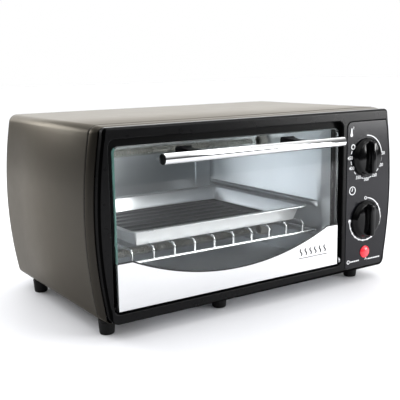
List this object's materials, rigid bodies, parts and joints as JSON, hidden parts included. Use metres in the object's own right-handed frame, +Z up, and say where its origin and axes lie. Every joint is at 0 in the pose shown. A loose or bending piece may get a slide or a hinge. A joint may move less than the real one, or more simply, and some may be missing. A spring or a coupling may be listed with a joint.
{
  "type": "toaster oven",
  "caption": "Countertop toaster oven: olive-grey steel wrap, black front with drop-down glass door, bar handle, rotary dials, wire rack and baking tray.",
  "frame": {"origin": "on the surface that the feet stand on, under the middle of the bounding box", "axes": "+Z up, +X to the right of a person facing the door, -Y towards that person (the door opens towards -Y)"},
  "size_m": [0.369, 0.2828, 0.1914],
  "materials": {
    "olive_paint": "satin metallic olive-grey paint, fine orange peel",
    "galvanised_steel": "satin galvanised sheet",
    "black_plastic": "satin black moulded plastic",
    "panel_plastic": "semi-gloss black with pale printed dial marks",
    "knob_plastic": "high gloss black",
    "foot_rubber": "matt black",
    "frame_paint": "satin black paint",
    "liner_steel": "bright aluminised steel sheet",
    "door_glass": "clear tempered glass with green edge",
    "silver_band": "mirror silver with a thin black upper line",
    "handle_chrome": "polished",
    "screw_steel": "zinc plated",
    "lamp_red": "translucent red",
    "bulb_glass": "clear",
    "white_nylon": "natural nylon",
    "heater_quartz": "milky quartz",
    "heater_wire": "oxidised resistance wire",
    "ceramic": "unglazed white ceramic",
    "wire_insulation": "glass-braid sleeve",
    "shaft_brass": "turned",
    "rack_chrome": "bright plated wire",
    "tray_aluminium": "satin with light baking marks"
  },
  "bodies": {
    "oven_body": {"housing_wrap": "olive_paint", "base_plate": "galvanised_steel", "back_cover": "galvanised_steel", "back_cover_screws": "screw_steel", "foot_front_left": "foot_rubber", "foot_front_right": "foot_rubber", "foot_rear_left": "foot_rubber", "foot_rear_right": "foot_rubber", "foot_front_middle": "foot_rubber", "foot_screws": "screw_steel", "front_bezel": "black_plastic", "control_panel": "panel_plastic", "cavity_front_frame": "frame_paint", "front_frame_screws": "screw_steel", "cavity_left_wall": "liner_steel", "cavity_right_wall": "liner_steel", "cavity_roof": "liner_steel", "cavity_floor": "liner_steel", "cavity_back_wall": "liner_steel", "heat_shield": "galvanised_steel", "upper_heater_tube": "heater_quartz", "upper_heater_coil": "heater_wire", "upper_heater_caps": "ceramic", "lower_heater_tube": "heater_quartz", "lower_heater_coil": "heater_wire", "lower_heater_caps": "ceramic", "thermostat_body": "ceramic", "timer_body": "galvanised_steel", "timer_bell": "screw_steel", "pilot_lamp_lens": "lamp_red", "pilot_lamp_bulb": "bulb_glass", "pilot_lamp_holder": "white_nylon", "terminal_block": "white_nylon", "internal_wires": "wire_insulation", "cord_gland": "foot_rubber", "door_spring": "screw_steel"},
    "door": {"door_glass": "door_glass", "door_silver_band": "silver_band", "door_bottom_rail": "frame_paint", "hinge_pin_left": "screw_steel", "hinge_pin_right": "screw_steel", "handle_bar": "handle_chrome", "handle_end_caps": "black_plastic", "handle_bracket_left": "black_plastic", "handle_bracket_right": "black_plastic", "handle_screws": "screw_steel"},
    "temperature_dial": {"temperature_knob": "knob_plastic", "temperature_shaft": "shaft_brass"},
    "timer_dial": {"timer_knob": "knob_plastic", "timer_shaft": "shaft_brass"},
    "rack": {"rack_frame": "rack_chrome", "rack_wires": "rack_chrome", "baking_tray": "tray_aluminium"}
  },
  "joints": [
    {"name": "door_hinge", "type": "hinge", "parent": "oven_body", "child": "door", "pos_m": [0, -0.09863, 0.0298], "axis": [1, 0, 0], "range_deg": [0, 80], "stiffness_Nm_per_rad": 0.15, "springref_deg": -22.92, "deforming": ["door_spring"]},
    {"name": "temperature_turn", "type": "hinge", "parent": "oven_body", "child": "temperature_dial", "pos_m": [0.1411, -0.10162, 0.1395], "axis": [0, 1, 0], "range_deg": [0, 300]},
    {"name": "timer_turn", "type": "hinge", "parent": "oven_body", "child": "timer_dial", "pos_m": [0.1411, -0.10162, 0.0708], "axis": [0, 1, 0], "range_deg": [0, 270]},
    {"name": "rack_slide", "type": "slide", "parent": "oven_body", "child": "rack", "axis": [0, -1, 0], "range_m": [0, 0.0504]}
  ],
  "couplings": [
    {"joint": "rack_slide", "follows": "door_hinge", "m_per_rad": 0.036}
  ]
}
